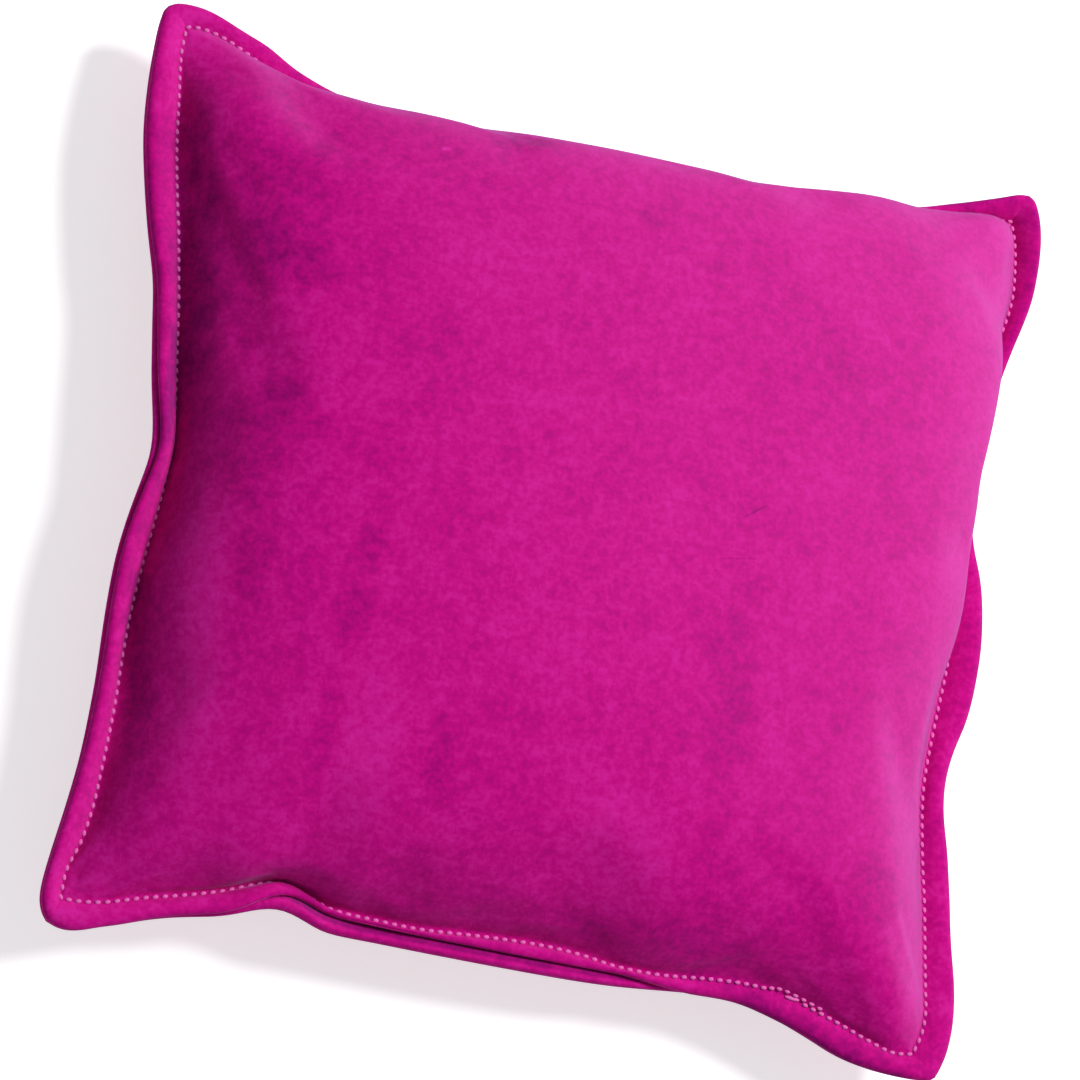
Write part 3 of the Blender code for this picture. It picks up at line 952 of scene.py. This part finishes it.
def suedeMaterial(name, napAndShadePatches, foldAndGrooveShading):
    look = suedeLook
    made, tree, shader = newMaterial(name)
    place = objectPlace(tree)
    nap = addNode(tree, "ShaderNodeGroup", {"Position": place}, node_tree=napGroup)
    seamValues = {
        "Seam": addNode(tree, "ShaderNodeUVMap", uv_map="seam").outputs[0],
        "Row": bagShape["footBack"],
        "Pitch": perimeter / stitchCount,
    }
    seam = addNode(tree, "ShaderNodeGroup", seamValues, node_tree=seamGroup)
    tone = calc(tree, "MULTIPLY_ADD", nap.outputs["Grain"], look["grain"], 0.5 - look["grain"] / 2)
    for output, share in (("Mottle", look["mottle"]), ("Drift", look["drift"])):
        level = calc(tree, "MULTIPLY_ADD", nap.outputs[output], share, -share / 2)
        tone = calc(tree, "ADD", tone, level)
    tone = calc(tree, "MULTIPLY_ADD", nap.outputs["Fibres"], look["fibres"], tone)
    for x, y, along, across, turn, depth in napAndShadePatches:
        patchValues = {
            "Position": place,
            "Nap": nap.outputs["Mottle"],
            "Centre": Vector((x, y, look["patchLevel"])) * mm,
            "Reach": Vector((along, across, look["patchHeight"])) * mm,
            "Turn": (0, 0, math.radians(turn)),
            "Raggedness": look["ragged"] if across > 1 else look["raggedMark"],
        }
        patch = addNode(tree, "ShaderNodeGroup", patchValues, node_tree=patchGroup)
        tone = calc(tree, "MULTIPLY_ADD", patch.outputs["Mask"], -depth, tone)
    # painted light and shade in the fold's groove, and painted shade along the stitches' trough and
    # round their holes
    for output, depth in (*foldAndGrooveShading.items(), ("Trough", look["trough"]), ("Holes", look["holes"])):
        tone = calc(tree, "MULTIPLY_ADD", seam.outputs[output], depth, tone)
    ramp = addNode(tree, "ShaderNodeValToRGB", {0: tone})
    ramp.color_ramp.elements[0].color = look["deep"]
    ramp.color_ramp.elements[1].color = look["pale"]
    ramp.color_ramp.elements.new(0.5).color = look["main"]
    # painted sheen: a lavender colour mixed into the base colour where the surface faces the lamp,
    # mostly on the crown
    normal = addNode(tree, "ShaderNodeTexCoord").outputs["Normal"]
    facing = addNode(tree, "ShaderNodeSeparateXYZ", {0: normal})
    way = math.radians(look["paintedSheenWay"])
    towards = calc(tree, "MULTIPLY", facing.outputs[1], math.sin(way))
    towards = calc(tree, "MULTIPLY_ADD", facing.outputs[0], math.cos(way), towards)
    paintedSheen = easeBetween(tree, towards, look["paintedSheenFrom"], 1.0, 0.0, look["paintedSheenShare"])  # full at 1
    paintedSheen = calc(tree, "MULTIPLY", paintedSheen, seam.outputs["Crown"])
    suede = mixColours(tree, paintedSheen, ramp.outputs[0], look["paintedSheen"])
    tree.links.new(suede, shader.inputs["Base Color"])
    height = nap.outputs["Height"]
    for output, depth in (("Puckers", look["puckerHeight"]), ("Holes", look["holeHeight"])):
        height = calc(tree, "MULTIPLY_ADD", seam.outputs[output], depth, height)
    addBump(tree, shader, height, look["bump"], look["bumpHeight"])
    wander, base = look["roughWander"], look["roughness"]
    roughness = calc(tree, "MULTIPLY_ADD", nap.outputs["Mottle"], wander, base)
    tree.links.new(roughness, shader.inputs["Roughness"])
    shader.inputs["Specular IOR Level"].default_value = look["specular"]
    shader.inputs["Sheen Weight"].default_value = look["sheen"]
    shader.inputs["Sheen Roughness"].default_value = look["sheenRoughness"]
    shader.inputs["Sheen Tint"].default_value = look["sheenTint"]
    return made


topPatches = suedeLook["napAndShadePatches"] + suedeLook["marks"]
topSuede = suedeMaterial("magentaSuede", topPatches, suedeLook["topFoldAndGrooveLight"])
underSuede = suedeMaterial("magentaSuedeUnder", suedeLook["underPatches"], suedeLook["underFoldAndGrooveShade"])
topCover.data.materials.append(topSuede)
bottomCover.data.materials.append(underSuede)

threadLook = {
    # light and shade: painted light and shade along the twist of the ply
    "light": (0.92, 0.19, 0.61, 1),
    "shade": (0.72, 0.10, 0.42, 1),
    "roughness": 0.55,
    "specular": 0.2,
    "twists": 5.0,  # to a stitch
    "seamTwist": 0.0009,  # length of a twist in the hidden seam's thread
    "wobble": 0.4,
    "bump": 0.5,
    "bumpHeight": 0.00006,
}

twistGroup, twistIn, twistOut = newGroup(
    "threadTwist",
    [("Place", "NodeSocketVector", None), ("Twists", "NodeSocketFloat", threadLook["twists"])],
    ["Ply"],
)
twistValues = {
    "Vector": twistIn.outputs["Place"],
    "Scale": twistIn.outputs["Twists"],
    "Distortion": threadLook["wobble"],
    "Detail": 1.0,
}
twistWave = addNode(
    twistGroup, "ShaderNodeTexWave", twistValues, wave_type="BANDS", bands_direction="DIAGONAL"
)
twistGroup.links.new(twistWave.outputs[1], twistOut.inputs["Ply"])


def threadMaterial(name, onStitches):
    look = threadLook
    made, tree, shader = newMaterial(name)
    if onStitches:
        place, twists = addNode(tree, "ShaderNodeUVMap", uv_map="twist").outputs[0], look["twists"]
    else:
        place, twists = objectPlace(tree), 1 / look["seamTwist"]
    twistValues = {"Place": place, "Twists": twists}
    ply = addNode(tree, "ShaderNodeGroup", twistValues, node_tree=twistGroup).outputs["Ply"]
    colour = mixColours(tree, ply, look["shade"], look["light"])
    tree.links.new(colour, shader.inputs["Base Color"])
    addBump(tree, shader, ply, look["bump"], look["bumpHeight"])
    shader.inputs["Roughness"].default_value = look["roughness"]
    shader.inputs["Specular IOR Level"].default_value = look["specular"]
    return made


stitchThread = threadMaterial("paleStitchThread", True)
seamThread = threadMaterial("paleSeamThread", False)
for stitches in (topStitches, bottomStitches):
    stitches.data.materials.append(stitchThread)
for join in (topJoin, bottomJoin):
    join.data.materials.append(seamThread)

pelletLook = {
    "light": (0.70, 0.56, 0.33, 1),
    "dark": (0.42, 0.30, 0.15, 1),
    "size": 4.5,  # in mm
    "shade": 0.6,  # how far one pellet's tone lies from the next one's
    "between": 0.5,  # painted shade: how much darker it is between them
    "roughness": 0.55,
    "bump": 0.8,
    "bumpHeight": 0.0012,
}
pellets, pelletTree, pelletShader = newMaterial("looseFill")
pelletValues = {"Vector": objectPlace(pelletTree), "Scale": 1 / (pelletLook["size"] * mm)}
cells = addNode(pelletTree, "ShaderNodeTexVoronoi", pelletValues)
tones = addNode(pelletTree, "ShaderNodeSeparateColor", {0: cells.outputs["Color"]})
pelletShade = calc(pelletTree, "MULTIPLY", tones.outputs[0], pelletLook["shade"])
between = easeBetween(pelletTree, cells.outputs["Distance"], 0.3, 0.7, 0.0, pelletLook["between"])
pelletShade = calc(pelletTree, "ADD", pelletShade, between)
pelletColour = mixColours(pelletTree, pelletShade, pelletLook["light"], pelletLook["dark"])
pelletTree.links.new(pelletColour, pelletShader.inputs["Base Color"])
rounded = calc(pelletTree, "SUBTRACT", 1.0, cells.outputs["Distance"])
addBump(pelletTree, pelletShader, rounded, pelletLook["bump"], pelletLook["bumpHeight"])
pelletShader.inputs["Roughness"].default_value = pelletLook["roughness"]
packedFill.data.materials.append(pellets)

for name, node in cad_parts.items():
    if "thread" in name:
        finish = seamThread
    else:
        finish = pellets if name == "fill" else topSuede
    for held in node.material_slots:
        held.material = finish
print("materials made")

for piece, node, slot in (
    (topCover, "top_panel", "magenta_suede"),
    (bottomCover, "bottom_panel", "magenta_suede"),
    (packedFill, "fill", "fill_pellets"),
    (topStitches, "topstitch_needle_thread", "pale_pink_thread"),
    (bottomStitches, "topstitch_bobbin_thread", "pale_pink_thread"),
    (topJoin, "seam_needle_thread", "pale_pink_thread"),
    (bottomJoin, "seam_bobbin_thread", "pale_pink_thread"),
):
    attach(piece, "root")
    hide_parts(node)

# Floor
floorLook = {
    "size": 6.0,  # in m
    "colour": (0.84, 0.84, 0.85, 1),
    "pale": (0.86, 0.86, 0.86, 1),
    "grain": 90.0,  # in mm
    "roughness": 0.9,
    "specular": 0.1,
    "cameraLift": 0.62,
}
floorWork = bmesh.new()
bmesh.ops.create_grid(floorWork, x_segments=1, y_segments=1, size=floorLook["size"] / 2)
floor = linkPiece("floor", finishMesh("floor", floorWork, smooth=False))


def whiteForCamera(tree, strength):  # the backdrop shows white without more light on the bag
    rays = addNode(tree, "ShaderNodeLightPath")
    seen = calc(tree, "MAXIMUM", rays.outputs["Is Camera Ray"], rays.outputs["Is Glossy Ray"])
    seen = calc(tree, "MAXIMUM", seen, rays.outputs["Is Transmission Ray"])
    return calc(tree, "MULTIPLY", seen, strength)


floorPaint, floorTree, floorShader = newMaterial("paleFloor")
floorGrain = grainNoise(floorTree, objectPlace(floorTree), floorLook["grain"])
floorTone = mixColours(floorTree, floorGrain, floorLook["colour"], floorLook["pale"])
floorTree.links.new(floorTone, floorShader.inputs["Base Color"])
floorShader.inputs["Roughness"].default_value = floorLook["roughness"]
floorShader.inputs["Specular IOR Level"].default_value = floorLook["specular"]
floorShader.inputs["Emission Color"].default_value = (1, 1, 1, 1)
floorLift = whiteForCamera(floorTree, floorLook["cameraLift"])
floorTree.links.new(floorLift, floorShader.inputs["Emission Strength"])
floor.data.materials.append(floorPaint)

# Light: one soft lamp from the right and a little behind, and a pale room
studio = {
    "azimuth": 28,  # degrees from +X towards +Y
    "elevation": 55,
    "distance": 1.4,
    "size": 0.42,
    "power": 19.5,
    "room": 0.21,
    "roomColour": (0.93, 0.95, 1.0, 1),
}
keyTurn, keyRise = math.radians(studio["azimuth"]), math.radians(studio["elevation"])
keyWay = Vector((
    math.cos(keyRise) * math.cos(keyTurn),
    math.cos(keyRise) * math.sin(keyTurn),
    math.sin(keyRise),
))
keyData = bpy.data.lights.new("softLamp", "AREA")
keyData.shape = "DISK"
keyData.energy = studio["power"]
keyData.size = studio["size"]
key = bpy.data.objects.new("softLamp", keyData)
key.location = keyWay * studio["distance"]
key.rotation_euler = (-keyWay).to_track_quat("-Z", "Y").to_euler()
bpy.context.scene.collection.objects.link(key)

room = bpy.data.worlds.new("paleRoom")
bpy.context.scene.world = room
room.use_nodes = True
roomTree = room.node_tree
roomLight = roomTree.nodes["Background"]
roomLight.inputs["Color"].default_value = studio["roomColour"]
roomLift = whiteForCamera(roomTree, 1.0 - studio["room"])
roomStrength = calc(roomTree, "ADD", roomLift, studio["room"])
roomTree.links.new(roomStrength, roomLight.inputs["Strength"])

# Camera: placed from the four corner points of the bag
cameraLook = {
    "aim": (-0.0038, -0.0010, 0.0190),
    "azimuth": -47.77,
    "elevation": 68.55,
    "roll": 56.8,
    "distance": 0.981,
    "lens": 201.4,
}
cameraTurn, cameraRise = math.radians(cameraLook["azimuth"]), math.radians(cameraLook["elevation"])
back = Vector((
    math.sin(cameraTurn) * math.cos(cameraRise),
    -math.cos(cameraTurn) * math.cos(cameraRise),
    math.sin(cameraRise),
))
cameraData = bpy.data.cameras.new("camera")
cameraData.lens = cameraLook["lens"]
camera = bpy.data.objects.new("camera", cameraData)
cameraPlace = Matrix.Translation(Vector(cameraLook["aim"]) + back * cameraLook["distance"])
cameraLine = (-back).to_track_quat("-Z", "Y").to_matrix().to_4x4()
cameraRoll = Matrix.Rotation(math.radians(cameraLook["roll"]), 4, "Z")
camera.matrix_world = cameraPlace @ cameraLine @ cameraRoll
bpy.context.scene.collection.objects.link(camera)
bpy.context.scene.camera = camera
bpy.context.scene.view_settings.view_transform = "Standard"

print("scene ready")
